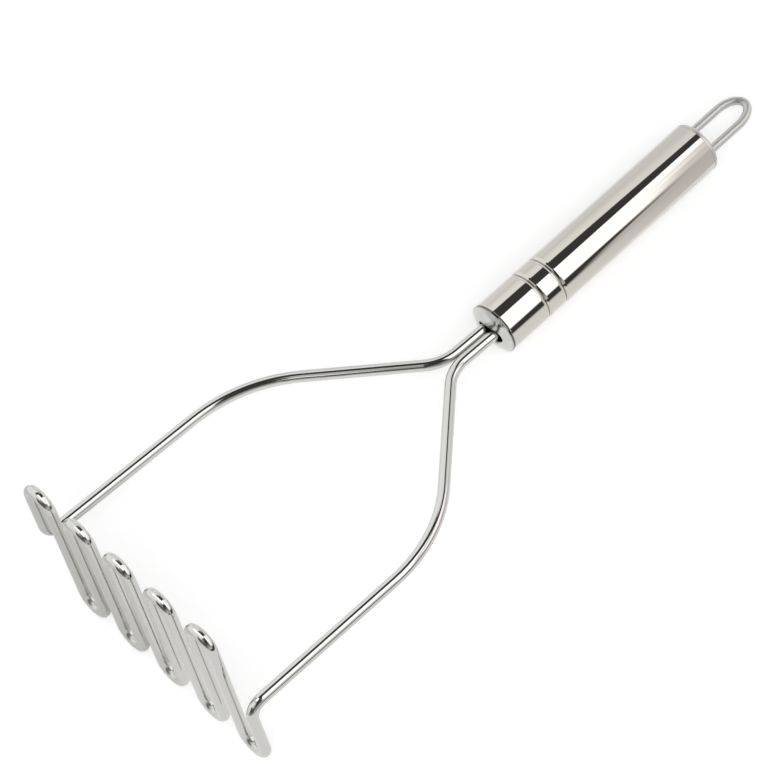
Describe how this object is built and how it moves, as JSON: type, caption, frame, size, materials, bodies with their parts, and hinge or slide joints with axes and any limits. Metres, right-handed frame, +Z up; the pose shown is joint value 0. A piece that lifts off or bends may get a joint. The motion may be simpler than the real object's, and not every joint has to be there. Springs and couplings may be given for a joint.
{
  "type": "potato masher",
  "caption": "All-metal potato masher: a serpentine wire foot on curved arms of the same wire, a slim polished tube handle with rolled grooves, and a wire loop for hanging.",
  "frame": {"origin": "Centre of the bounding box seen from above, at the height of the surface that the masher lies on.", "axes": "The masher lies on its side, as in the picture. +X runs from the foot towards the hanging loop, +Y runs across the width of the foot and +Z is up."},
  "size_m": [0.2744, 0.104, 0.057],
  "materials": {
    "masher_wire": "polished",
    "handle_tube": "mirror polished",
    "front_cap": "polished, a little duller than the tube",
    "wire_plug": "plain",
    "rear_cap": "mirror polished",
    "hanging_loop": "polished"
  },
  "bodies": {
    "root": {"masher_wire": "masher_wire", "handle_tube": "handle_tube", "front_cap": "front_cap", "wire_plug": "wire_plug", "rear_cap": "rear_cap", "hanging_loop": "hanging_loop"}
  },
  "joints": []
}
